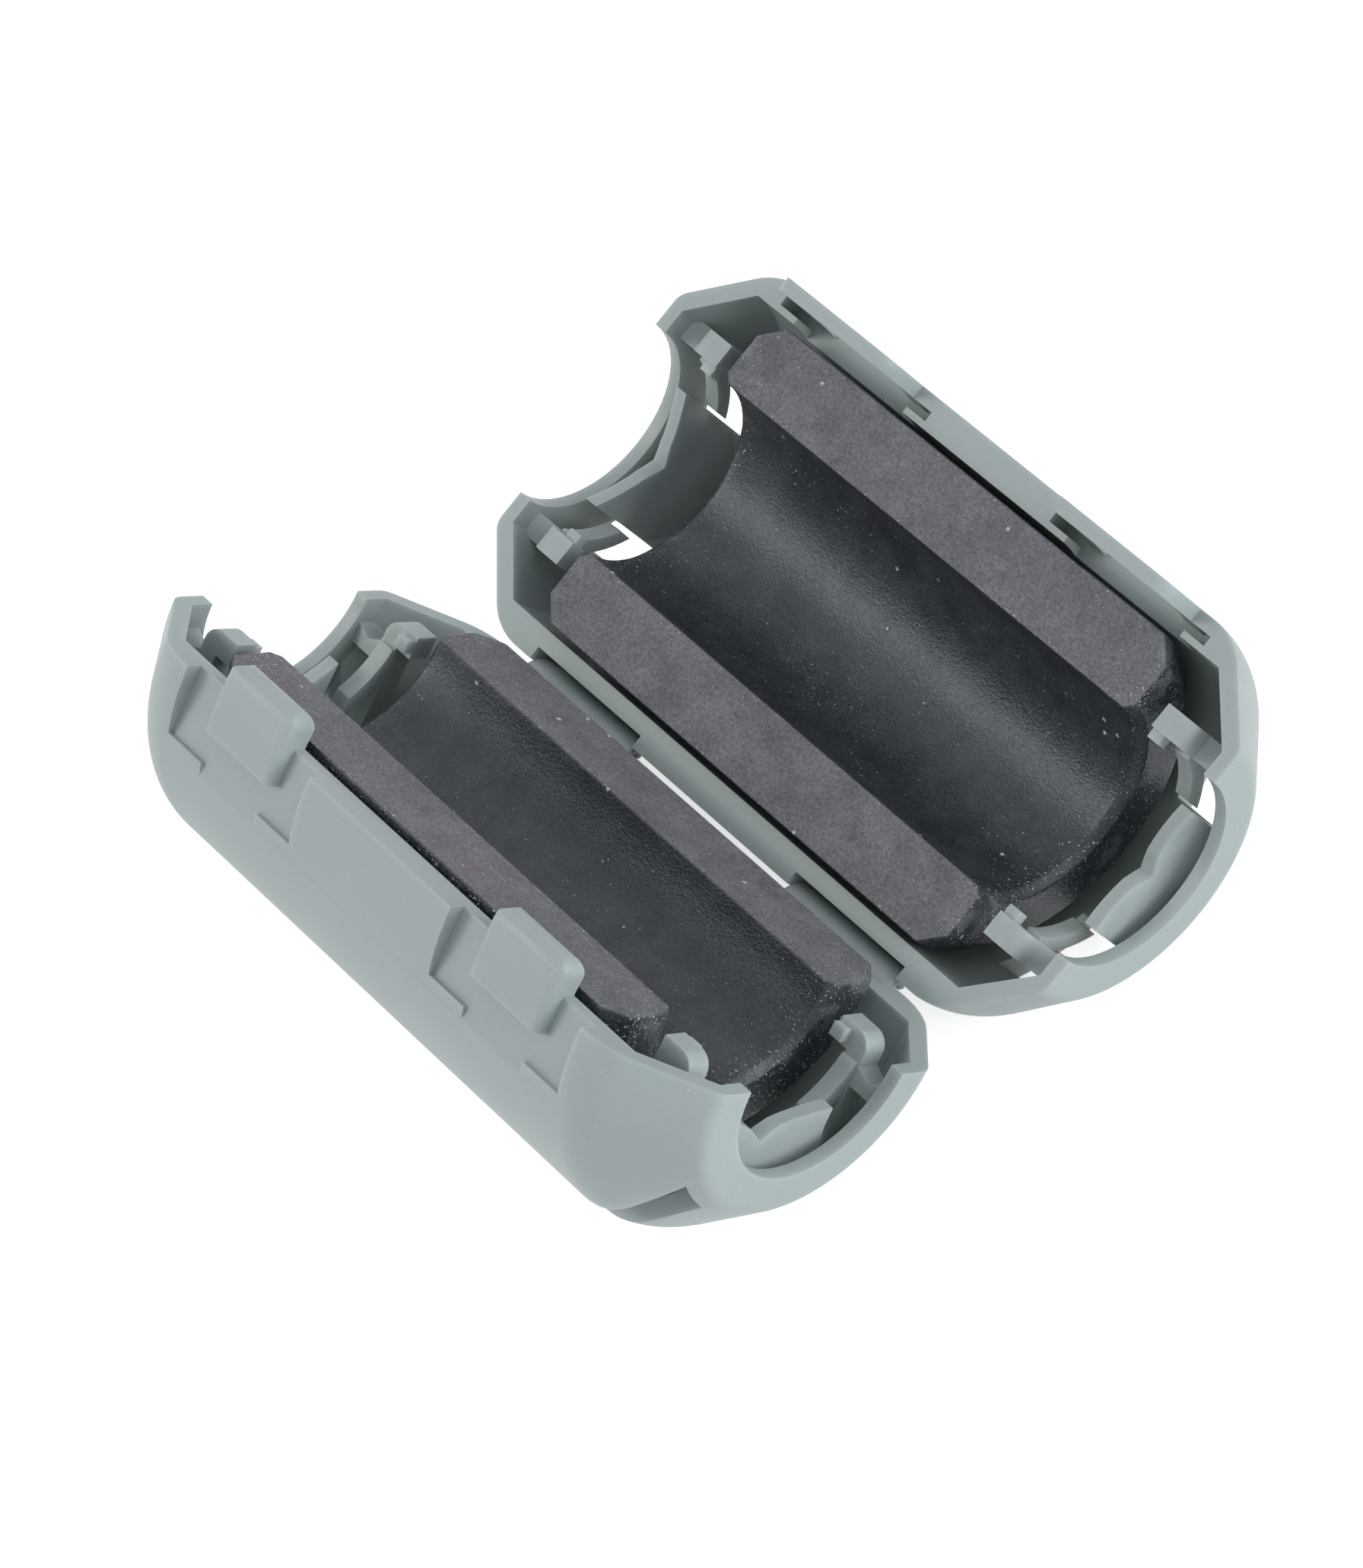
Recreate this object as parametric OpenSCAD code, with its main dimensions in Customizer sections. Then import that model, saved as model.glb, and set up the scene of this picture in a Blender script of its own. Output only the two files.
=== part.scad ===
// Clip-on ferrite bead, lying open. A plastic housing in two hinged halves holds
// a ferrite half-core in each half; closed, the halves snap round a cable.
//
// Each half is drawn in its own frame: X runs along the cable, Y from the hinge to
// the latch, Z up out of the rim plane, with the origin on the cable axis. The halves
// are then tipped about the hinge so that both rest on the ground plane Z = 0.

/* [Ferrite cores] */
// Length of a half-core
core_len = 25.5; // [20:0.5:34]
// Outside radius of the core
core_r = 8; // [7.2:0.1:10]
// Radius of the cable bore
bore_r = 4.6; // [3.8:0.1:5.2]
// Chamfer round the outer end edges of a core
core_chamfer = 1; // [0.3:0.1:1.5]
// Chamfer round the bore's end edges
bore_chamfer = 0.4; // [0.1:0.1:0.8]
// Height of the core faces above the rims once the halves are shut
core_proud = 0.12; // [0.05:0.01:0.2]
// How far the catch half's core stands up when it is not pressed
catch_core_float = 0.4; // [0.1:0.05:0.6]
// How far the latch half's core rocks up, in degrees
latch_core_rock = 2.75; // [0:0.25:3]
// Distance of the rocking line beyond the latch side of the core
rock_reach = 2.7; // [1:0.1:5]

/* [Housing] */
// Wall thickness round the cores
wall = 1.4; // [1.3:0.1:2]
// Wall thickness of the tapered ends
cone_wall = 0.8; // [0.7:0.05:1]
// Thickness of the end walls
end_wall = 0.65; // [0.6:0.05:0.9]
// Free length between a core and an end wall
end_room = 4.1; // [3.9:0.05:5]
// Length of the tapered end of the housing
cone_len = 3.45; // [2.5:0.05:4]
// Rounding where the barrel meets the taper
barrel_round = 3; // [0.5:0.1:4]
// Rounding where the taper meets the end face
nose_round = 0.9; // [0.2:0.1:1.2]

/* [Hinge] */
// Opening angle between the rims, 0 shut and 180 flat
opening = 113.4; // [100:0.1:150]
// Width of a hinge strap
strap_w = 6.8; // [5:0.1:8]
// Distance between the middles of the straps
strap_pitch = 16.8; // [14:0.1:17]
// Thickness of a strap
strap_t = 0.4; // [0.3:0.05:0.5]
// Depth of the strap's seat below the rim
strap_drop = 1.4; // [1:0.1:2]
// Depth of the strap's seat into the outside of the wall
strap_seat = 0.6; // [0.5:0.05:0.7]

/* [Latch] */
// Distance between the middles of the two latches
latch_pitch = 17; // [15:0.1:18]
// Width of a catch loop
loop_w = 7; // [6.4:0.1:8]
// Thickness of a catch loop
loop_t = 0.65; // [0.5:0.05:0.75]
// Height of the bar across the top of a loop
loop_bar = 1.1; // [0.8:0.05:1.5]
// Width of a latch tongue
tongue_w = 4.3; // [3.5:0.1:5]
// Height of a tongue above the rim
tongue_rise = 1.6; // [1.4:0.1:2.2]
// Depth of a tongue's catching edge below the rim
tongue_drop = 1.75; // [1.25:0.1:1.95]
// Width of the slots in the rim at the sides of a loop
slot_w = 1.15; // [0.8:0.05:1.3]

/* [Cable grips and core hooks] */
// Width of a cable grip
grip_w = 6.2; // [5:0.1:6.6]
// Height of a grip's corners below the rim
grip_corner = 2.4; // [2:0.1:3]
// Height of a grip's middle below the rim
grip_middle = 3.4; // [3:0.1:3.8]
// Depth of the nick in the middle of a grip
grip_nick = 0.6; // [0.2:0.1:0.8]
// Thickness of a grip
grip_t = 0.6; // [0.5:0.05:0.9]
// Radius that a grip curves round, seen from above
grip_curve = 8; // [6:0.5:20]
// Width of a core hook
hook_w = 1.15; // [0.9:0.05:1.4]
// Gap between a core and the hook heads
hook_gap = 0.9; // [0.3:0.1:1.2]

/* [Clearances] */
// Gap round the cores in their pockets
core_clearance = 0.3; // [0.2:0.05:0.4]
// Gap between the latch's mating faces
latch_clearance = 0.1; // [0.05:0.05:0.2]
// Gap between the walls at the hinge, measured with the halves laid flat
hinge_gap = 0.2; // [0.05:0.05:0.3]
// Gap between the two core faces once the halves are shut
face_gap = 0.06; // [0.04:0.01:0.1]

/* [Hidden] */
$fn = 96;

PLASTIC = [0.66, 0.70, 0.69];
STRAP = [0.58, 0.62, 0.61];
FERRITE = [0.27, 0.27, 0.29];

eps = 0.01;
far = 40;
pocket_r = core_r + core_clearance;
housing_r = pocket_r + wall;
housing_len = core_len + 2 * (end_room + end_wall);
core_end = core_len / 2;
end_x = housing_len / 2;
inner_end_x = end_x - end_wall;
cone_x = end_x - cone_len;
nose_r = housing_r - cone_len;

// The hinge axis in a half's own frame, and the tip of each half at rest
hinge_y = housing_r + hinge_gap / 2;
hinge_lift = core_proud + face_gap / 2;
lean = (180 - opening) / 2;
hinge_height = housing_r - hinge_y * sin(lean) + hinge_lift * cos(lean);

// Where a half's frame lies in the other half's frame once they are shut
shut_gap = 2 * hinge_lift;

// Latch levels out from the cable axis: the inner face of a loop, then the floor of its seat
loop_in = housing_r - loop_t;
seat_in = loop_in - 1.5 * latch_clearance;
tongue_in_r = pocket_r + 0.05;
window_low = tongue_rise - shut_gap + 2 * latch_clearance;
window_top = tongue_drop + shut_gap + latch_clearance;
window_w = tongue_w + 4 * latch_clearance;
loop_top = window_top + loop_bar;
loop_corner = 1;
tongue_corner = 0.8;
tongue_edge = 0.4;
slot_in_r = pocket_r + 0.3;

// A loop's seat, with a deeper slot in its middle for prising the loop up
seat_low = loop_top - shut_gap + 3 * latch_clearance;
seat_w = loop_w + 10 * latch_clearance;
pry_w = seat_w / 2 - 0.35;
pry_depth = 0.8;

// A hook's head and leg, the nub on the head's bore side, and the arm behind the head
hook_inner_y = bore_r + 0.2;
hook_top = hinge_lift - 0.03;
head_x = core_end + hook_gap;
head_flat = 1;
head_round = 0.75;
head_len = head_flat + head_round;
head_depth = 1.05;
leg_len = 0.9;
leg_x = head_x + head_len - leg_len;
nub_w = 0.45;
nub_len = 0.65;
nub_drop = 0.2;
nub_depth = 0.6;
arm_len = inner_end_x - head_x - head_len;
arm_top = 1.15;
arm_dip = 0.35;
arm_low = 2.1;

// The rib that runs down from a hook's leg along the bore
rib_gap = 0.15;
rib_t = 0.7;
rib_len = 0.8;

// Half the width of the dip in a grip's edge
dip = 0.8;

// Depth of the floor windows' upper edge, and how far they reach under the core and past a hook
floor_top = 3;
under_core = 0.3;
beside_hook = 0.85;

// Side view of a grip, as [distance inwards from the end wall, height]: it leans towards the core
grip_side = [
    [1.75, -1],
    [1.75 - grip_t, -1],
    [1.7 - grip_t, -3.25],
    [1.5 - grip_t, -4.35],
    [1.05 - grip_t, -5.35],
    [0.45, -housing_r],
    [2.85, -housing_r],
    [1.85, -6.25],
    [1.55, -5.15],
    [1.7, -3.85]
];

// Points of an arc in the plane, from angle a0 to a1
function arc(centre, r, a0, a1, steps) = [
    for (i = [0:steps]) centre + r * [cos(a0 + (a1 - a0) * i / steps), sin(a0 + (a1 - a0) * i / steps)]
];

// Tangent length of a rounding on a corner that turns through 45 degrees
function tangent(r) = r * tan(22.5);

// Outside of the housing from its middle to one end, as [radius, x] points
function outside_profile() = concat(
    [[0, 0], [housing_r, 0]],
    arc([housing_r - barrel_round, cone_x - tangent(barrel_round)], barrel_round, 0, 45, 8),
    arc([nose_r - tangent(nose_round), end_x - nose_round], nose_round, 45, 90, 5),
    [[0, end_x]]
);

// Pocket inside the housing, its taper parallel to the outside's
function pocket_profile() = let (taper_sum = cone_x + housing_r - cone_wall * sqrt(2)) [
    [0, 0],
    [pocket_r, 0],
    [pocket_r, taper_sum - pocket_r],
    [taper_sum - inner_end_x, inner_end_x],
    [0, inner_end_x]
];

// Turns a [radius, x] profile about the cable axis, keeping the side below the rim plane
module turned_half(profile)
    rotate([0, 90, 0]) rotate([0, 0, -90]) rotate_extrude(angle = 180) polygon(profile);

module turned(profile)
    rotate([0, 90, 0]) rotate_extrude() polygon(profile);

// Both ends of something drawn for the +X end
module both_ends()
    for (side = [0, 1]) mirror([side, 0, 0]) children();

// Both sides of something drawn for the +Y side
module both_sides()
    for (side = [0, 1]) mirror([0, side, 0]) children();

// A cylinder on the cable axis
module rod(r, from, to)
    translate([from, 0, 0]) rotate([0, 90, 0]) cylinder(r = r, h = to - from);

// A ring about the cable axis
module ring(inner, outer, from, to)
    difference() {
        rod(outer, from, to);
        rod(inner, from - 1, to + 1);
    }

// A rectangle with rounded upper corners, standing on its base, width by height
module tablet(w, low, high, r) {
    translate([-w / 2, low]) square([w, high - low - r]);
    translate([-w / 2 + r, high - r - eps]) square([w - 2 * r, r + eps]);
    for (side = [-1, 1]) translate([side * (w / 2 - r), high - r]) circle(r = r, $fn = 32);
}

// A flat shape drawn in X and Z, pushed through the latch side of a half
module through_latch_wall()
    translate([0, far / 2, 0]) rotate([90, 0, 0]) linear_extrude(far / 2) children();

// The shape of the hinge side's wall left out for a strap
module strap_seats()
    for (side = [-1, 1])
        translate([side * strap_pitch / 2 - strap_w / 2, -housing_r - 1, -strap_drop])
            cube([strap_w, strap_seat + 1, strap_drop + 1]);

// Windows in the floor beside each grip, and under the hook heads on the hinge side
module floor_windows()
    both_ends() translate([core_end - under_core, 0, -housing_r]) {
        both_sides() translate([0, grip_w / 2, 0])
            cube([end_room + under_core, hook_inner_y - grip_w / 2, housing_r - floor_top]);
        translate([0, -hook_inner_y - hook_w - beside_hook, 0])
            cube([leg_x - core_end + under_core, hook_w + beside_hook + eps, housing_r - floor_top]);
    }

// A springy leaf at each end that bears on the cable, curved in plan
module cable_grips()
    both_ends() intersection() {
        translate([inner_end_x + grip_curve, 0, 0]) rotate([0, 0, 150]) rotate_extrude(angle = 60)
            polygon([for (p = grip_side) [grip_curve + p[0], p[1]]]);
        rotate([90, 0, 90]) linear_extrude(far) polygon([
            [-grip_w / 2, -grip_corner],
            [-dip, -grip_middle],
            [0, -grip_middle - grip_nick],
            [dip, -grip_middle],
            [grip_w / 2, -grip_corner],
            [grip_w / 2, -far],
            [-grip_w / 2, -far]
        ]);
        turned_half(outside_profile());
    }

// Side view of a hook's head and leg, and of the arm that ties the head to the end wall
module hook_side() {
    polygon(concat(
        [[0, hook_top]],
        arc([head_flat, hook_top - head_round], head_round, 90, 0, 6),
        [
            [head_len, -housing_r],
            [head_len - leg_len, -housing_r],
            [head_len - leg_len, hook_top - head_depth],
            [0, hook_top - head_depth]
        ]
    ));
    translate([head_len - eps, 0]) polygon([
        [0, -arm_top],
        [arm_len / 2, -arm_top - arm_dip],
        [arm_len + 2 * eps, -arm_top],
        [arm_len + 2 * eps, -arm_low],
        [0, -arm_low]
    ]);
}

// Posts beside the bore that stop a core sliding along the housing; a thin rib runs down from each
module core_hooks()
    both_ends() both_sides() {
        intersection() {
            translate([head_x, hook_inner_y + hook_w, 0]) rotate([90, 0, 0]) linear_extrude(hook_w) hook_side();
            union() {
                turned_half(outside_profile());
                translate([0, -far / 2, -1]) cube([far, far, 2]);
            }
        }
        translate([head_x + 0.05, hook_inner_y - nub_w, hook_top - nub_drop - nub_depth])
            cube([nub_len, nub_w + eps, nub_depth]);
        intersection() {
            ring(bore_r + rib_gap, bore_r + rib_gap + rib_t, leg_x, leg_x + rib_len);
            translate([0, grip_w / 2 + 0.2, -far]) cube([far, far, far - head_depth]);
        }
    }

// What the two halves of the housing have in common
module housing_half() {
    difference() {
        both_ends() turned_half(outside_profile());
        both_ends() turned(pocket_profile());
        rod(bore_r, -far, far);
        strap_seats();
        floor_windows();
    }
    cable_grips();
    core_hooks();
}

// Tips a half that is drawn in its own frame into place on the ground
module in_catch_place()
    translate([0, 0, hinge_height]) rotate([lean, 0, 0]) translate([0, hinge_y, -hinge_lift]) children();

module in_latch_place()
    mirror([0, 1, 0]) in_catch_place() children();

// The loop that snaps over a tongue: a flat frame, level with the wall where it stands on the rim
module loop_shape()
    intersection() {
        translate([-loop_w / 2, loop_in, -far / 2]) cube([loop_w, loop_t, far]);
        through_latch_wall() difference() {
            tablet(loop_w, -window_low, loop_top, loop_corner);
            translate([-window_w / 2, -window_low - 1]) square([window_w, window_low + window_top + 1]);
        }
    }

// A loop stands on the rim: above it, it flexes outwards while the halves snap together
module catch_loop(side)
    color(PLASTIC) in_catch_place() translate([side * latch_pitch / 2, 0, 0]) intersection() {
        loop_shape();
        translate([-far / 2, 0, 0]) cube(far);
    }

module left_loop()
    catch_loop(-1);

module right_loop()
    catch_loop(1);

// The half with the catch loops: the inner wall is stepped down to let the tongues in
module catch_half()
    color(PLASTIC) in_catch_place() {
        difference() {
            housing_half();
            for (side = [-1, 1]) translate([side * latch_pitch / 2, 0, 0]) {
                intersection() {
                    rod(loop_in, -loop_w / 2, loop_w / 2);
                    translate([-loop_w / 2, 0, -window_low]) cube([loop_w, far, window_low + 1]);
                }
                translate([-window_w / 2, 0, -window_low]) cube([window_w, far, window_low + 1]);
                for (end = [-1, 1])
                    translate([end * (loop_w + slot_w) / 2 - slot_w / 2, slot_in_r, -window_low])
                        cube([slot_w, loop_in - slot_in_r, window_low + 1]);
            }
        }
        for (side = [-1, 1]) translate([side * latch_pitch / 2, 0, 0]) difference() {
            intersection() {
                loop_shape();
                rod(housing_r, -loop_w, loop_w);
            }
            translate([-far / 2, 0, 0]) cube(far);
        }
    }

// A latch tongue: its tip is a full round and its outer side edges are rounded over
module tongue() {
    thick = housing_r - tongue_in_r;
    tip_y = sqrt((housing_r - thick / 2) ^ 2 - (tongue_rise - thick / 2) ^ 2);
    intersection() {
        through_latch_wall() tablet(tongue_w, -tongue_drop, tongue_rise, tongue_corner);
        translate([-tongue_w / 2, 0, 0]) rotate([90, 0, 90]) linear_extrude(tongue_w) {
            difference() {
                circle(r = housing_r);
                circle(r = tongue_in_r);
                translate([-far, tongue_rise - thick / 2]) square(2 * far);
            }
            translate([tip_y, tongue_rise - thick / 2]) circle(r = thick / 2, $fn = 32);
        }
        both_ends() turned(concat(
            [[0, 0], [housing_r, 0]],
            arc([housing_r - tongue_edge, tongue_w / 2 - tongue_edge], tongue_edge, 0, 90, 6),
            [[0, tongue_w / 2]]
        ));
    }
}

// The half with the tongues, each standing in the flat seat that its loop drops into
module latch_half()
    color(PLASTIC) in_latch_place() {
        difference() {
            housing_half();
            for (side = [-1, 1]) translate([side * latch_pitch / 2, 0, 0]) {
                translate([-seat_w / 2, seat_in, -seat_low]) cube([seat_w, far, seat_low + 1]);
                translate([-pry_w / 2, seat_in, -seat_low - pry_depth]) cube([pry_w, far, pry_depth + eps]);
            }
        }
        for (side = [-1, 1]) translate([side * latch_pitch / 2, 0, 0]) tongue();
    }

// A strap arches over the gap from seat to seat, in the plane across the hinge
module strap(side) {
    seat_y = -housing_r + strap_seat / 2;
    turn = 90 - lean;
    drop = strap_drop + hinge_lift;
    arch_r = seat_y + hinge_y + drop * tan(lean);
    arch_z = hinge_height - drop / cos(lean);
    color(STRAP) translate([side * strap_pitch / 2 - strap_w / 2, 0, arch_z]) rotate([90, 0, 90])
        linear_extrude(strap_w) polygon(concat(
            arc([0, 0], arch_r + strap_t / 2, 90 - turn, 90 + turn, 16),
            arc([0, 0], arch_r - strap_t / 2, 90 + turn, 90 - turn, 16)
        ));
}

module left_strap()
    strap(-1);

module right_strap()
    strap(1);

// A half-core as it sits when the halves are shut
module half_core()
    translate([0, 0, core_proud]) both_ends() turned_half([
        [bore_r, 0],
        [core_r, 0],
        [core_r, core_end - core_chamfer],
        [core_r - core_chamfer, core_end],
        [bore_r + bore_chamfer, core_end],
        [bore_r, core_end - bore_chamfer]
    ]);

// The catch half's core stands a little above its seat
module catch_core()
    color(FERRITE) in_catch_place() translate([0, 0, catch_core_float]) half_core();

// The latch half's core is rocked up on the hinge side
module latch_core()
    color(FERRITE) in_latch_place()
        translate([0, core_r + rock_reach, core_proud]) rotate([-latch_core_rock, 0, 0])
            translate([0, -core_r - rock_reach, -core_proud]) half_core();

catch_half();
latch_half();
left_loop();
right_loop();
left_strap();
right_strap();
catch_core();
latch_core();
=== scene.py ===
"""A clip-on ferrite bead lying open: two hinged halves of moulded nylon, each with a half-core.

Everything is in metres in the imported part's frame: X along the cable, the hinge line at Y = 0,
the half with the catch loops on the +Y side, and the floor at Z = 0.
"""

import math

import bpy
from mathutils import Matrix, Vector


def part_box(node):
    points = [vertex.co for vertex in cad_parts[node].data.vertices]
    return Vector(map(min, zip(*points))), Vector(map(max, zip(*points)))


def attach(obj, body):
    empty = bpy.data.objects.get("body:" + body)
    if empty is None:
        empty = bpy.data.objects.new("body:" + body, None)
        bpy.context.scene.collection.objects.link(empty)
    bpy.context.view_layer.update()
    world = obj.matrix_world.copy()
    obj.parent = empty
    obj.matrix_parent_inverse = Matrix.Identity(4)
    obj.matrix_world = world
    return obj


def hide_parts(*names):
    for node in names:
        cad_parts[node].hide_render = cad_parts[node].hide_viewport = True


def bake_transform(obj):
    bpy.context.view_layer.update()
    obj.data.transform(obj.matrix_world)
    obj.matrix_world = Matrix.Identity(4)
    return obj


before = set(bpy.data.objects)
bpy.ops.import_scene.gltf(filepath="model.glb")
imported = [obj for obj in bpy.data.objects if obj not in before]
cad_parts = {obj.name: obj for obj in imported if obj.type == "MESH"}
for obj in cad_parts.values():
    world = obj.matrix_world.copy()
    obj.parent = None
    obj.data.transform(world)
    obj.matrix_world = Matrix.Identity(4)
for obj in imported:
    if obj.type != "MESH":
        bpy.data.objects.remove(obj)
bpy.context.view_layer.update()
scene = bpy.context.scene
scene.view_settings.view_transform = "Standard"

# ---------------------------------------------------------------------------------------------
# Camera. It looks down on the open bead from beyond the latch half, 48 degrees above the floor,
# from 269 mm away, and is rolled by about two degrees.
# ---------------------------------------------------------------------------------------------
mm = 0.001
camera_azimuth = math.radians(51.8)
camera_elevation = math.radians(48.1)
camera_roll = math.radians(-2.2)
camera_distance = 269.19 * mm
looked_at = Vector((0.517, -1.600, 8.0)) * mm
sensor_width = 36.0  # this and the focal length are in millimetres, as Blender takes them
focal_length = 151.05
nearest_seen = 0.01
farthest_seen = 20.0

bpy.ops.object.camera_add()
camera = bpy.context.object
camera.name = "camera"
camera.data.sensor_width = sensor_width
camera.data.lens = focal_length
camera.data.clip_start = nearest_seen
camera.data.clip_end = farthest_seen
towards_camera = Vector(
    (
        math.sin(camera_azimuth) * math.cos(camera_elevation),
        -math.cos(camera_azimuth) * math.cos(camera_elevation),
        math.sin(camera_elevation),
    )
)
camera.location = looked_at + towards_camera * camera_distance
upright = (-towards_camera).to_track_quat("-Z", "Y").to_matrix()
camera.rotation_euler = (upright @ Matrix.Rotation(camera_roll, 3, "Z")).to_euler()
scene.camera = camera

# ---------------------------------------------------------------------------------------------
# Studio: a white sweep under the bead, an even white surround, a soft lamp to the left that draws
# the streaks along the bores, and a larger one to the right behind the catch half.
# ---------------------------------------------------------------------------------------------


def linear(hex_colour):
    """An sRGB hex colour as a linear RGBA value."""
    parts = [int(hex_colour[i : i + 2], 16) / 255 for i in (1, 3, 5)]
    return [p / 12.92 if p <= 0.04045 else ((p + 0.055) / 1.055) ** 2.4 for p in parts] + [1.0]


def add_node(tree, kind, settings=None, **links):
    """Adds a node, sets its properties, and sets or links its inputs.

    An input goes by its name with _ for a space, or by i and its number.
    """
    node = tree.nodes.new(kind)
    for name, value in (settings or {}).items():
        setattr(node, name, value)
    for name, value in links.items():
        key = int(name[1:]) if name[0] == "i" and name[1:].isdigit() else name.replace("_", " ")
        if isinstance(value, bpy.types.NodeSocket):
            tree.links.new(value, node.inputs[key])
        else:
            node.inputs[key].default_value = value
    return node


def new_material(name):
    """An empty node material and its tree."""
    material = bpy.data.materials.new(name)
    material.use_nodes = True
    material.node_tree.nodes.clear()
    return material, material.node_tree


def seen_directly(tree):
    """1 for rays from the camera, and for those that a glossy or clear surface sends on, else 0."""
    rays = add_node(tree, "ShaderNodeLightPath")
    either = add_node(
        tree,
        "ShaderNodeMath",
        {"operation": "MAXIMUM"},
        i0=rays.outputs["Is Camera Ray"],
        i1=rays.outputs["Is Glossy Ray"],
    )
    any_of_them = add_node(
        tree,
        "ShaderNodeMath",
        {"operation": "MAXIMUM"},
        i0=either.outputs[0],
        i1=rays.outputs["Is Transmission Ray"],
    )
    return any_of_them.outputs[0]


white = "#ffffff"
sweep_paper = "#e2e4e4"
sweep_shadow = "#dadada"  # takes the bead's shadow
sweep_glow = 0.72  # brings what the camera sees of the sweep up to white
sweep_width = 3.0

sweep_material, tree = new_material("matt_white_sweep")
lit = add_node(tree, "ShaderNodeBsdfDiffuse", Color=linear(sweep_paper))
shaded = add_node(tree, "ShaderNodeBsdfDiffuse", Color=linear(sweep_shadow))
glow = add_node(tree, "ShaderNodeEmission", Color=linear(white), Strength=sweep_glow)
shown = add_node(tree, "ShaderNodeAddShader", i0=shaded.outputs[0], i1=glow.outputs[0])
surface = add_node(
    tree,
    "ShaderNodeMixShader",
    i0=seen_directly(tree),
    i1=lit.outputs[0],
    i2=shown.outputs[0],
)
add_node(tree, "ShaderNodeOutputMaterial", Surface=surface.outputs[0])

bpy.ops.object.select_all(action="DESELECT")
bpy.ops.mesh.primitive_plane_add(size=sweep_width, location=(0, 0, 0))
sweep = bpy.context.object
sweep.name = "sweep"
sweep.data.materials.append(sweep_material)

surround_fill = "#f4f8ff"
surround_strength = 0.6

world = bpy.data.worlds.new("white_surround")
scene.world = world
world.use_nodes = True
tree = world.node_tree
tree.nodes.clear()
fill = add_node(
    tree,
    "ShaderNodeBackground",
    Color=linear(surround_fill),
    Strength=surround_strength,
)
backdrop = add_node(tree, "ShaderNodeBackground", Color=linear(white), Strength=1.0)
mixed = add_node(
    tree,
    "ShaderNodeMixShader",
    i0=seen_directly(tree),
    i1=fill.outputs[0],
    i2=backdrop.outputs[0],
)
add_node(tree, "ShaderNodeOutputWorld", Surface=mixed.outputs[0])

lamp_distance = 0.5


def soft_lamp(name, direction, size, power, colour):
    """A square area lamp that shines on the bead from a direction."""
    bpy.ops.object.light_add(type="AREA")
    lamp = bpy.context.object
    lamp.name = name
    lamp.data.shape = "SQUARE"
    lamp.data.size = size
    lamp.data.energy = power
    lamp.data.color = linear(colour)[:3]
    way = Vector(direction).normalized()
    lamp.location = looked_at + way * lamp_distance
    lamp.rotation_euler = (-way).to_track_quat("-Z", "Y").to_euler()


soft_lamp("key_softbox", direction=(-0.52, -0.69, 0.5), size=0.17, power=0.72, colour="#fffdfa")
soft_lamp("side_softbox", direction=(0.9, 0.42, 0.35), size=0.3, power=1.35, colour="#fbfcff")

# ---------------------------------------------------------------------------------------------
# The housing: one injection moulding in light grey nylon, two halves with the catch loops on one
# and the tongues on the other. It is satin, faintly grained by the mould, slightly translucent in
# its thin rims, and has small radii on every edge.
# ---------------------------------------------------------------------------------------------
nylon_pale = "#acb5b3"
nylon_dull = "#9fa9a7"
nylon_rub = "#c3cbca"
nylon_ior = 1.53
nylon_roughness = (0.42, 0.52)
milkiness = 0.35
milky_depth = 0.8 * mm
milky_spread = (1.0, 1.0, 0.95)
flow_mark = 5.0 * mm
mould_grain = 0.16 * mm
grain_strength = 0.14
grain_depth = 0.02 * mm
rub_from = 0.60
rub_full = 0.78
rub_strength = 0.35
mould_radius = 0.16 * mm
merge_within = 0.0001 * mm
weld_within = 0.02 * mm
flat_within = math.radians(0.5)
sharp_above = math.radians(35)
rounding_steps = 2


def moulded_nylon(name):
    """Light grey moulded nylon: the mould's fine grain, paler where rubbed, and soft flow marks."""
    material, tree = new_material(name)
    place = add_node(tree, "ShaderNodeTexCoord").outputs["Object"]
    flow = add_node(
        tree,
        "ShaderNodeTexNoise",
        Vector=place,
        Scale=1 / flow_mark,
        Detail=3.0,
        Roughness=0.5,
    )
    tint = add_node(
        tree,
        "ShaderNodeMix",
        {"data_type": "RGBA"},
        i0=flow.outputs["Fac"],
        i6=linear(nylon_dull),
        i7=linear(nylon_pale),
    )
    grain = add_node(
        tree,
        "ShaderNodeTexNoise",
        Vector=place,
        Scale=1 / mould_grain,
        Detail=2.0,
        Roughness=0.6,
    )
    rubbed = add_node(
        tree,
        "ShaderNodeMapRange",
        Value=grain.outputs["Fac"],
        i1=rub_from,
        i2=rub_full,
        i4=rub_strength,
    )
    grained = add_node(
        tree,
        "ShaderNodeMix",
        {"data_type": "RGBA"},
        i0=rubbed.outputs[0],
        i6=tint.outputs[2],
        i7=linear(nylon_rub),
    )
    bump = add_node(
        tree,
        "ShaderNodeBump",
        Strength=grain_strength,
        Distance=grain_depth,
        Height=grain.outputs["Fac"],
    )
    gloss = add_node(
        tree,
        "ShaderNodeMapRange",
        Value=flow.outputs["Fac"],
        i1=0.3,
        i2=0.7,
        i3=nylon_roughness[0],
        i4=nylon_roughness[1],
    )
    skin = add_node(
        tree,
        "ShaderNodeBsdfPrincipled",
        Base_Color=grained.outputs[2],
        Roughness=gloss.outputs[0],
        Normal=bump.outputs[0],
        IOR=nylon_ior,
        Subsurface_Weight=milkiness,
        Subsurface_Scale=milky_depth,
        Subsurface_Radius=milky_spread,
    )
    add_node(tree, "ShaderNodeOutputMaterial", Surface=skin.outputs[0])
    return material


def only(piece):
    """Makes a piece the one selected and active object."""
    bpy.ops.object.select_all(action="DESELECT")
    piece.select_set(True)
    bpy.context.view_layer.objects.active = piece


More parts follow.
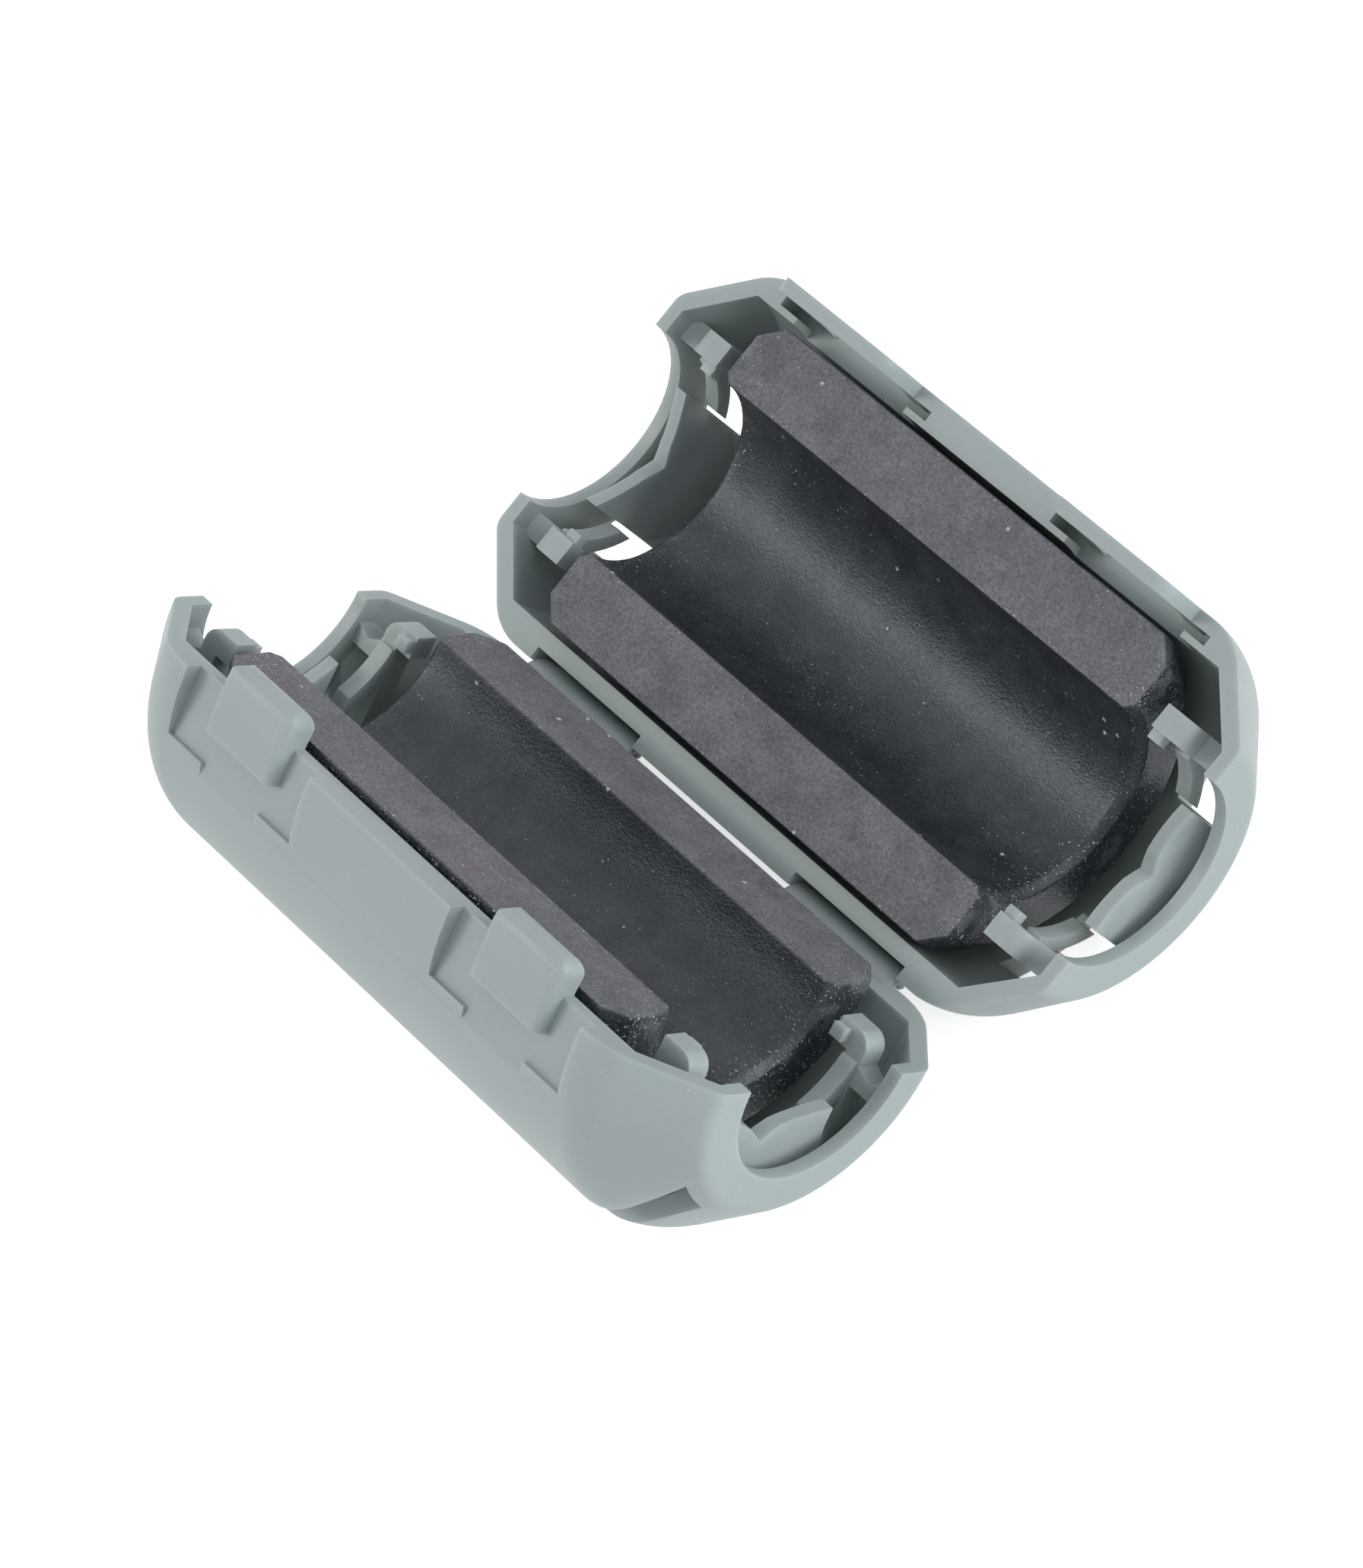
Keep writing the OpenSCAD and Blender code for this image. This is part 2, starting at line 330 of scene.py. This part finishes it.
def merged_copy(name, piece_name):
    """A copy of a CAD node as one closed mesh, its own piece."""
    piece = bpy.data.objects.new(piece_name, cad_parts[name].data.copy())
    scene.collection.objects.link(piece)
    only(piece)
    bpy.ops.object.mode_set(mode="EDIT")
    bpy.ops.mesh.select_all(action="SELECT")
    bpy.ops.mesh.remove_doubles(threshold=merge_within)
    bpy.ops.mesh.dissolve_degenerate(threshold=merge_within / 10)
    bpy.ops.object.mode_set(mode="OBJECT")
    return piece


def fuse(piece, other):
    """Joins another closed mesh into a piece."""
    union = piece.modifiers.new("fuse", "BOOLEAN")
    union.operation = "UNION"
    union.solver = "EXACT"
    union.object = other
    only(piece)
    bpy.ops.object.modifier_apply(modifier=union.name)
    bpy.data.objects.remove(other)


def round_edges(piece, radius):
    """Rounds a merged piece's sharp edges over, and shades it so that its flat faces stay flat."""
    only(piece)
    bpy.ops.object.mode_set(mode="EDIT")
    bpy.ops.mesh.select_all(action="SELECT")
    bpy.ops.mesh.remove_doubles(threshold=weld_within)
    bpy.ops.mesh.dissolve_limited(angle_limit=flat_within)
    bpy.ops.object.mode_set(mode="OBJECT")
    bpy.ops.object.shade_smooth()
    bevel = piece.modifiers.new("edge_radius", "BEVEL")
    bevel.width = radius
    bevel.segments = rounding_steps
    bevel.limit_method = "ANGLE"
    bevel.angle_limit = sharp_above
    bevel.miter_outer = "MITER_ARC"
    bevel.use_clamp_overlap = True
    bpy.ops.object.modifier_apply(modifier=bevel.name)
    flat = piece.modifiers.new("flat_faces", "WEIGHTED_NORMAL")
    flat.mode = "FACE_AREA"
    flat.weight = 100
    bpy.ops.object.modifier_apply(modifier=flat.name)


def finish_piece(piece, material, slot, *stands_for):
    """Gives a piece its material, and puts it in the place of CAD nodes. The slot is not used."""
    piece.data.materials.clear()
    piece.data.materials.append(material)
    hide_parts(*stands_for)


housing_nylon = moulded_nylon("moulded_grey_nylon")

catch_moulding = merged_copy("catch_half", "catch_half_moulding")
for name in ("left_loop", "right_loop"):
    fuse(catch_moulding, merged_copy(name, name + "_copy"))
round_edges(catch_moulding, mould_radius)
finish_piece(
    catch_moulding,
    housing_nylon,
    "housing_plastic",
    "catch_half",
    "left_loop",
    "right_loop",
)
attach(catch_moulding, "catch_half")

latch_moulding = merged_copy("latch_half", "latch_half_moulding")
round_edges(latch_moulding, mould_radius)
finish_piece(latch_moulding, housing_nylon, "housing_plastic", "latch_half")
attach(latch_moulding, "latch_half")

# ---------------------------------------------------------------------------------------------
# The two hinge straps: thin webs of the same moulding that bend as it shuts. Each springs from a
# seat in the outside of one wall, arches over the gap and runs down into the other wall's seat.
# ---------------------------------------------------------------------------------------------
strap_width = 6.8 * mm
strap_thickness = 0.4 * mm
strap_pitch = 16.8 * mm
strap_foot = 0.3 * mm
strap_edge = 0.1 * mm
strap_steps = 20
end_facing = 0.99  # how nearly an end's face has to look down the strap
half_turn = math.radians(56.7)
strap_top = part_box("left_strap")[1]
arch_outer = strap_top[1] / math.sin(half_turn)
arch_z = strap_top[2] - arch_outer
arch_middle = arch_outer - strap_thickness / 2
seat_y = arch_middle * math.sin(half_turn)
seat_z = arch_z + arch_middle * math.cos(half_turn)

# the section stands at one seat and is spun over the gap
bpy.ops.object.select_all(action="DESELECT")
bpy.ops.mesh.primitive_plane_add(size=1.0)
web = bpy.context.object
upright_section = Matrix.Rotation(math.pi / 2 - half_turn, 4, "X")
section_size = Matrix.Diagonal((strap_width, strap_thickness, 1, 1))
web.data.transform(Matrix.Translation((0, seat_y, seat_z)) @ upright_section @ section_size)
only(web)
bpy.ops.object.mode_set(mode="EDIT")
bpy.ops.mesh.select_all(action="SELECT")
bpy.ops.mesh.spin(steps=strap_steps, angle=-2 * half_turn, center=(0, 0, arch_z), axis=(1, 0, 0))
bpy.ops.mesh.select_all(action="SELECT")
bpy.ops.mesh.normals_make_consistent(inside=False)
bpy.ops.mesh.select_mode(type="FACE")
bpy.ops.object.mode_set(mode="OBJECT")

# each end runs on into its wall
for wall in (-1, 1):
    down = Vector((0, wall * math.cos(half_turn), -math.sin(half_turn)))
    bpy.ops.object.mode_set(mode="EDIT")
    bpy.ops.mesh.select_all(action="DESELECT")
    bpy.ops.object.mode_set(mode="OBJECT")
    for face in web.data.polygons:
        face.select = face.normal.dot(down) > end_facing
    bpy.ops.object.mode_set(mode="EDIT")
    bpy.ops.mesh.extrude_region_move(TRANSFORM_OT_translate={"value": down * strap_foot})
    bpy.ops.object.mode_set(mode="OBJECT")
round_edges(web, strap_edge)

strap_nylon = moulded_nylon("moulded_grey_nylon_web")
for side, name in ((-1, "left_strap"), (1, "right_strap")):
    strap = bpy.data.objects.new(name.replace("strap", "hinge_web"), web.data.copy())
    scene.collection.objects.link(strap)
    strap.data.transform(Matrix.Translation((side * strap_pitch / 2, 0, 0)))
    finish_piece(strap, strap_nylon, "strap_plastic", name)
    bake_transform(strap)
bpy.data.objects.remove(web)

# ---------------------------------------------------------------------------------------------
# The half-cores: nickel-zinc ferrite, pressed and fired, then ground flat on the faces that meet,
# which leaves those faces paler and white dust in the bore and along the edges. Each lies loose in
# its half, under the four hooks.
# ---------------------------------------------------------------------------------------------
ground_dark = "#5c5d61"
ground_pale = "#727377"
ground_warm = "#706a6d"
fired_dark = "#25282c"
fired_pale = "#383b3f"
chipped_grey = "#85898c"
dust_white = "#d3d6d7"
sheen_blue = "#eef5fd"
ferrite_ior = 1.55
fired_roughness = 0.36
ground_roughness = 0.72
ground_edge = 0.07 * mm
bore_radius = 4.6 * mm
core_radius = 8.0 * mm
core_half_length = 12.75 * mm

# the ground look comes in from the first value to the second: of how squarely a point faces the
# other core, and of its height above the channel's axis
ground_facing = (0.96, 0.99)
ground_level = (-0.12 * mm, -0.05 * mm)

# mottle, warmer patches, grit and chips; the grit here and the flecks below are finer on the real
# core, and are drawn as coarse as they need to show
mottle_size = 1.5 * mm
patch_size = 4.5 * mm
warm_share = 0.7
grit_size = 0.14 * mm
grit_shade = (0.62, 1.45)
grit_relief = 0.9
relief_strength = 0.8
relief_depth = 0.05 * mm
chipped_end = 0.9 * mm
chip_strength = 0.35

# dust: fine flecks, thicker along the edges and at the ends, and larger specks in a share of cells
fleck_size = 0.12 * mm
fleck_from = 0.825
fleck_full = 0.88
fleck_strength = 0.7
edge_dust = 0.11
patch_dust = 0.2
dusty_lip = 0.3 * mm
rim_dust = 0.6
dusty_end = 2.2 * mm
end_dust = 0.8
speck_spacing = 1.4 * mm
speck_share = 0.3
speck_ragged = 0.25 * mm
speck_edge = 0.085
speck_core = 0.05
speck_strength = 0.85


def ferrite(name, middle, face_normal):
    """Fired ferrite: a dark grained skin, paler mottled ground faces, and pale flecks of dust.

    The middle is that of the channel's axis, and the normal is that of the ground faces.
    """
    material, tree = new_material(name)
    coords = add_node(tree, "ShaderNodeTexCoord")
    place = coords.outputs["Object"]
    offset = add_node(
        tree,
        "ShaderNodeVectorMath",
        {"operation": "SUBTRACT"},
        i0=place,
        i1=middle,
    ).outputs[0]

    # the ground faces: turned up, and level with the cable axis, unlike the bottom of the bore
    facing = add_node(
        tree,
        "ShaderNodeVectorMath",
        {"operation": "DOT_PRODUCT"},
        i0=coords.outputs["Normal"],
        i1=face_normal,
    )
    height = add_node(
        tree,
        "ShaderNodeVectorMath",
        {"operation": "DOT_PRODUCT"},
        i0=offset,
        i1=face_normal,
    )
    turned_up = add_node(
        tree,
        "ShaderNodeMapRange",
        Value=facing.outputs["Value"],
        i1=ground_facing[0],
        i2=ground_facing[1],
    )
    level = add_node(
        tree,
        "ShaderNodeMapRange",
        Value=height.outputs["Value"],
        i1=ground_level[0],
        i2=ground_level[1],
    )
    ground = add_node(
        tree,
        "ShaderNodeMath",
        {"operation": "MULTIPLY"},
        i0=turned_up.outputs[0],
        i1=level.outputs[0],
    ).outputs[0]

    # how near a point is to the bore's edge, to the outer edge and to the end
    parts = add_node(tree, "ShaderNodeSeparateXYZ", Vector=offset)
    across = add_node(tree, "ShaderNodeCombineXYZ", Y=parts.outputs["Y"], Z=parts.outputs["Z"])
    radius = add_node(
        tree,
        "ShaderNodeVectorMath",
        {"operation": "LENGTH"},
        i0=across.outputs[0],
    ).outputs["Value"]
    along = add_node(
        tree,
        "ShaderNodeMath",
        {"operation": "ABSOLUTE"},
        i0=parts.outputs["X"],
    ).outputs[0]
    by_bore = add_node(
        tree,
        "ShaderNodeMapRange",
        Value=radius,
        i1=bore_radius + dusty_lip,
        i2=bore_radius,
    )
    bore_lip = add_node(
        tree,
        "ShaderNodeMath",
        {"operation": "MULTIPLY"},
        i0=by_bore.outputs[0],
        i1=ground,
    )
    by_rim = add_node(
        tree,
        "ShaderNodeMapRange",
        Value=radius,
        i1=core_radius - dusty_lip,
        i2=core_radius,
        i4=rim_dust,
    )
    by_end = add_node(
        tree,
        "ShaderNodeMapRange",
        Value=along,
        i1=core_half_length - dusty_end,
        i2=core_half_length,
        i4=end_dust,
    )
    lips = add_node(
        tree,
        "ShaderNodeMath",
        {"operation": "MAXIMUM"},
        i0=bore_lip.outputs[0],
        i1=by_rim.outputs[0],
    )
    at_edge = add_node(
        tree,
        "ShaderNodeMath",
        {"operation": "MAXIMUM"},
        i0=lips.outputs[0],
        i1=by_end.outputs[0],
    )

    # colours: a mottled skin and mottled ground faces with warmer patches, both grained
    mottle = add_node(
        tree,
        "ShaderNodeTexNoise",
        Vector=place,
        Scale=1 / mottle_size,
        Detail=6.0,
        Roughness=0.62,
    )
    patch = add_node(
        tree,
        "ShaderNodeTexNoise",
        Vector=place,
        Scale=1 / patch_size,
        Detail=4.0,
        Roughness=0.55,
    )
    grit = add_node(
        tree,
        "ShaderNodeTexNoise",
        Vector=place,
        Scale=1 / grit_size,
        Detail=2.0,
        Roughness=0.75,
    )
    cloud = add_node(tree, "ShaderNodeMapRange", Value=mottle.outputs["Fac"], i1=0.36, i2=0.64)
    warmth = add_node(
        tree,
        "ShaderNodeMapRange",
        Value=patch.outputs["Fac"],
        i1=0.42,
        i2=0.62,
        i4=warm_share,
    )
    face_tint = add_node(
        tree,
        "ShaderNodeMix",
        {"data_type": "RGBA"},
        i0=cloud.outputs[0],
        i6=linear(ground_dark),
        i7=linear(ground_pale),
    )
    warm_tint = add_node(
        tree,
        "ShaderNodeMix",
        {"data_type": "RGBA"},
        i0=warmth.outputs[0],
        i6=face_tint.outputs[2],
        i7=linear(ground_warm),
    )
    skin_tint = add_node(
        tree,
        "ShaderNodeMix",
        {"data_type": "RGBA"},
        i0=cloud.outputs[0],
        i6=linear(fired_dark),
        i7=linear(fired_pale),
    )
    tint = add_node(
        tree,
        "ShaderNodeMix",
        {"data_type": "RGBA"},
        i0=ground,
        i6=skin_tint.outputs[2],
        i7=warm_tint.outputs[2],
    )
    grain = add_node(
        tree,
        "ShaderNodeMapRange",
        Value=grit.outputs["Fac"],
        i1=0.3,
        i2=0.7,
        i3=grit_shade[0],
        i4=grit_shade[1],
    )
    grained = add_node(
        tree,
        "ShaderNodeMix",
        {"data_type": "RGBA", "blend_type": "MULTIPLY"},
        i0=1.0,
        i6=tint.outputs[2],
        i7=grain.outputs[0],
    )

    # chips: grey patches on the end chamfers
    chip_place = add_node(
        tree,
        "ShaderNodeMapRange",
        Value=along,
        i1=core_half_length - chipped_end,
        i2=core_half_length,
    )
    chip_shape = add_node(
        tree,
        "ShaderNodeMapRange",
        Value=mottle.outputs["Fac"],
        i1=0.56,
        i2=0.62,
        i4=chip_strength,
    )
    chip = add_node(
        tree,
        "ShaderNodeMath",
        {"operation": "MULTIPLY"},
        i0=chip_place.outputs[0],
        i1=chip_shape.outputs[0],
    )
    chipped = add_node(
        tree,
        "ShaderNodeMix",
        {"data_type": "RGBA"},
        i0=chip.outputs[0],
        i6=grained.outputs[2],
        i7=linear(chipped_grey),
    )

    # dust: fine flecks, thicker at the edges, and now and then a larger ragged speck
    fine = add_node(
        tree,
        "ShaderNodeTexNoise",
        Vector=place,
        Scale=1 / fleck_size,
        Detail=1.0,
        Roughness=0.5,
    )
    lifted = add_node(
        tree,
        "ShaderNodeMath",
        {"operation": "MULTIPLY_ADD"},
        i0=at_edge.outputs[0],
        i1=edge_dust,
        i2=fine.outputs["Fac"],
    )
    patchy = add_node(
        tree,
        "ShaderNodeMath",
        {"operation": "MULTIPLY_ADD"},
        i0=patch.outputs["Fac"],
        i1=patch_dust,
        i2=lifted.outputs[0],
    )
    flecks = add_node(
        tree,
        "ShaderNodeMapRange",
        Value=patchy.outputs[0],
        i1=fleck_from,
        i2=fleck_full,
        i4=fleck_strength,
    )
    ragged = add_node(
        tree,
        "ShaderNodeVectorMath",
        {"operation": "MULTIPLY_ADD"},
        i0=grit.outputs["Color"],
        i1=(speck_ragged, speck_ragged, speck_ragged),
        i2=place,
    )
    cells = add_node(
        tree,
        "ShaderNodeTexVoronoi",
        Vector=ragged.outputs[0],
        Scale=1 / speck_spacing,
    )
    draw = add_node(tree, "ShaderNodeSeparateColor", Color=cells.outputs["Color"])
    has_speck = add_node(
        tree,
        "ShaderNodeMath",
        {"operation": "LESS_THAN"},
        i0=draw.outputs[1],
        i1=speck_share,
    )
    spot = add_node(
        tree,
        "ShaderNodeMapRange",
        Value=cells.outputs["Distance"],
        i1=speck_edge,
        i2=speck_core,
        i4=speck_strength,
    )
    specks = add_node(
        tree,
        "ShaderNodeMath",
        {"operation": "MULTIPLY"},
        i0=has_speck.outputs[0],
        i1=spot.outputs[0],
    )
    dust = add_node(
        tree,
        "ShaderNodeMath",
        {"operation": "MAXIMUM"},
        i0=flecks.outputs[0],
        i1=specks.outputs[0],
    ).outputs[0]
    dusty = add_node(
        tree,
        "ShaderNodeMix",
        {"data_type": "RGBA"},
        i0=dust,
        i6=chipped.outputs[2],
        i7=linear(dust_white),
    )

    # the fired skin has a soft gloss, the ground faces none
    gloss = add_node(
        tree,
        "ShaderNodeMapRange",
        Value=ground,
        i3=fired_roughness,
        i4=ground_roughness,
    )
    relief = add_node(
        tree,
        "ShaderNodeMath",
        {"operation": "MULTIPLY_ADD"},
        i0=grit.outputs["Fac"],
        i1=grit_relief,
        i2=dust,
    )
    bump = add_node(
        tree,
        "ShaderNodeBump",
        Strength=relief_strength,
        Distance=relief_depth,
        Height=relief.outputs[0],
    )
    body = add_node(
        tree,
        "ShaderNodeBsdfPrincipled",
        Base_Color=dusty.outputs[2],
        Roughness=gloss.outputs[0],
        Normal=bump.outputs[0],
        IOR=ferrite_ior,
        Specular_Tint=linear(sheen_blue),
    )
    add_node(tree, "ShaderNodeOutputMaterial", Surface=body.outputs[0])
    return material


for name in ("catch_core", "latch_core"):
    core = merged_copy(name, name + "_ferrite")
    round_edges(core, ground_edge)
    ground_faces = sorted(core.data.polygons, key=lambda face: face.area)[-2:]
    face_normal = ground_faces[0].normal.copy()
    middle = (ground_faces[0].center + ground_faces[1].center) / 2
    finish_piece(core, ferrite("fired_ferrite_" + name, middle, face_normal), "ferrite", name)
    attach(core, name)
